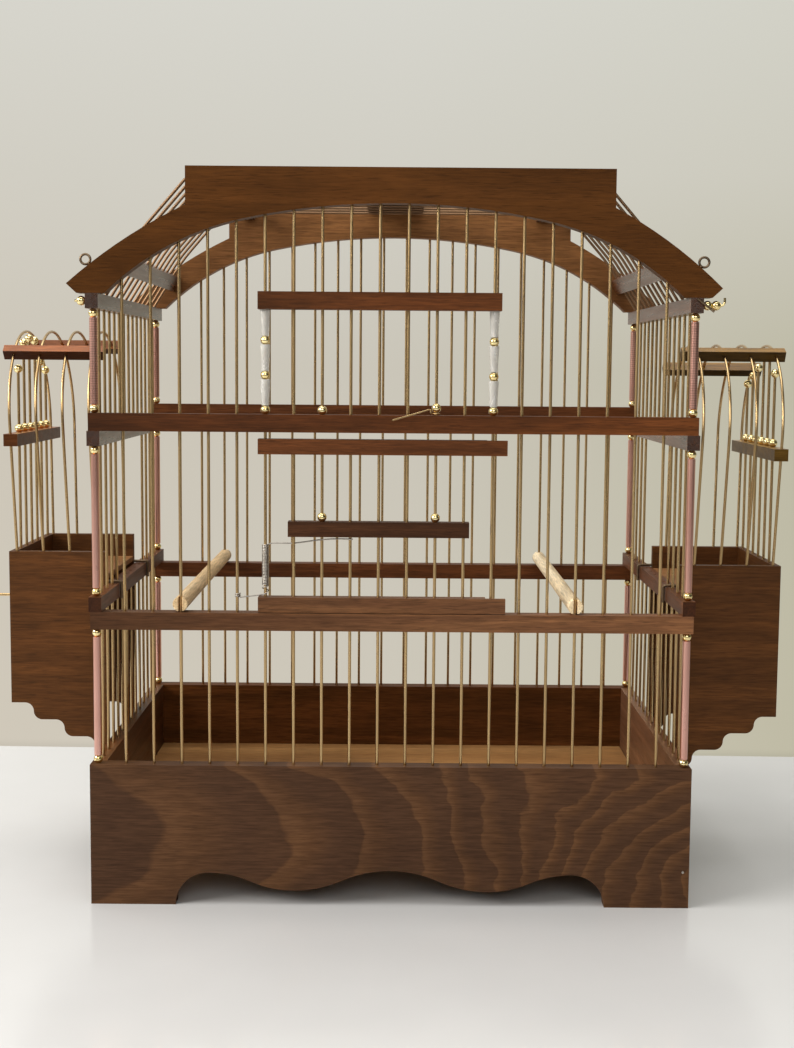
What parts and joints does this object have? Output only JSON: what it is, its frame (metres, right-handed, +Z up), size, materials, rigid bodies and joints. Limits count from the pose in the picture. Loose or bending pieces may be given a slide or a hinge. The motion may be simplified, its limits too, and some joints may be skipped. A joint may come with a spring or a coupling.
{
  "type": "bird cage",
  "caption": "Wooden song-bird cage with brass wires, an arched roof, a sprung front door, perches and an outside feeder with a wire hood on each end.",
  "frame": {"origin": "on the standing surface, below the middle of the wooden base", "axes": "+Z up, front towards -Y, +X to the right as seen from the front; X is the longest way and Y the shortest"},
  "size_m": [0.5707, 0.2803, 0.4874],
  "materials": {
    "base_wood": "satin varnish",
    "rail_wood": "satin varnish",
    "arch_wood": "satin varnish",
    "floor_wood": "plain",
    "feeder_wood": "satin varnish",
    "pale_wood": "sanded",
    "brass_wire": "drawn",
    "brass_bead": "polished",
    "copper_tube": "polished",
    "clear_tube": "clear",
    "dark_steel": "dull",
    "spring_steel": "drawn"
  },
  "bodies": {
    "cage": {"back_arch_board": "arch_wood", "back_lower_rail": "rail_wood", "back_mid_rail": "rail_wood", "back_wires": "brass_wire", "base_back_board": "base_wood", "base_front_board": "base_wood", "base_left_board": "base_wood", "base_right_board": "base_wood", "centre_top_board": "rail_wood", "closing_spring": "spring_steel", "corner_beads": "brass_bead", "corner_tubes": "copper_tube", "corner_wires": "brass_wire", "floor_battens": "floor_wood", "floor_panel": "floor_wood", "front_arch_board": "arch_wood", "front_lower_rail": "rail_wood", "front_mid_rail": "rail_wood", "front_wires": "brass_wire", "hanging_eyes": "dark_steel", "left_lower_rail": "rail_wood", "left_mid_rail": "rail_wood", "left_top_rail": "rail_wood", "left_wires": "brass_wire", "right_lower_rail": "rail_wood", "right_mid_rail": "rail_wood", "right_top_rail": "rail_wood", "right_wires": "brass_wire", "roof_wires": "brass_wire", "shoulder_rails": "rail_wood", "slope_bars": "rail_wood", "spacer_beads": "brass_bead", "spacer_tubes": "clear_tube", "stiffener_bar": "rail_wood", "top_pins": "brass_bead"},
    "door": {"door_top_bar": "rail_wood", "door_middle_bar": "rail_wood", "door_bottom_bar": "rail_wood", "door_wires": "brass_wire", "door_beads": "brass_bead"},
    "latch": {"latch_hook": "brass_wire"},
    "left_perch": {"left_perch": "pale_wood"},
    "right_perch": {"right_perch": "pale_wood"},
    "left_feeder": {"left_feeder_front_panel": "feeder_wood", "left_feeder_back_panel": "feeder_wood", "left_feeder_end_panel": "feeder_wood", "left_feeder_floor": "floor_wood", "left_feeder_hood_bars": "rail_wood", "left_feeder_wires": "brass_wire", "left_feeder_beads": "brass_bead", "left_feeder_hooks": "dark_steel"},
    "right_feeder": {"right_feeder_front_panel": "feeder_wood", "right_feeder_back_panel": "feeder_wood", "right_feeder_end_panel": "feeder_wood", "right_feeder_floor": "floor_wood", "right_feeder_hood_bars": "rail_wood", "right_feeder_wires": "brass_wire", "right_feeder_beads": "brass_bead", "right_feeder_hooks": "dark_steel"}
  },
  "joints": [
    {"name": "door_hinge", "type": "hinge", "parent": "cage", "child": "door", "pos_m": [-0.0837, -0.1302, 0.255], "axis": [0, 0, -1], "range_deg": [0, 110], "stiffness_Nm_per_rad": 0.02, "springref_deg": -28.65, "deforming": ["closing_spring"]},
    {"name": "latch_swing", "type": "hinge", "parent": "cage", "child": "latch", "pos_m": [0.0279, -0.1302, 0.3292], "axis": [0, 0, 1], "range_deg": [0, 128]},
    {"name": "left_perch_lift", "type": "slide", "parent": "cage", "child": "left_perch", "axis": [0, 0, 1], "range_m": [0, 0.105]},
    {"name": "right_perch_lift", "type": "slide", "parent": "cage", "child": "right_perch", "axis": [0, 0, 1], "range_m": [0, 0.105]},
    {"name": "left_feeder_lift", "type": "slide", "parent": "cage", "child": "left_feeder", "axis": [0, 0, 1], "range_m": [0, 0.016]},
    {"name": "right_feeder_lift", "type": "slide", "parent": "cage", "child": "right_feeder", "axis": [0, 0, 1], "range_m": [0, 0.016]}
  ]
}
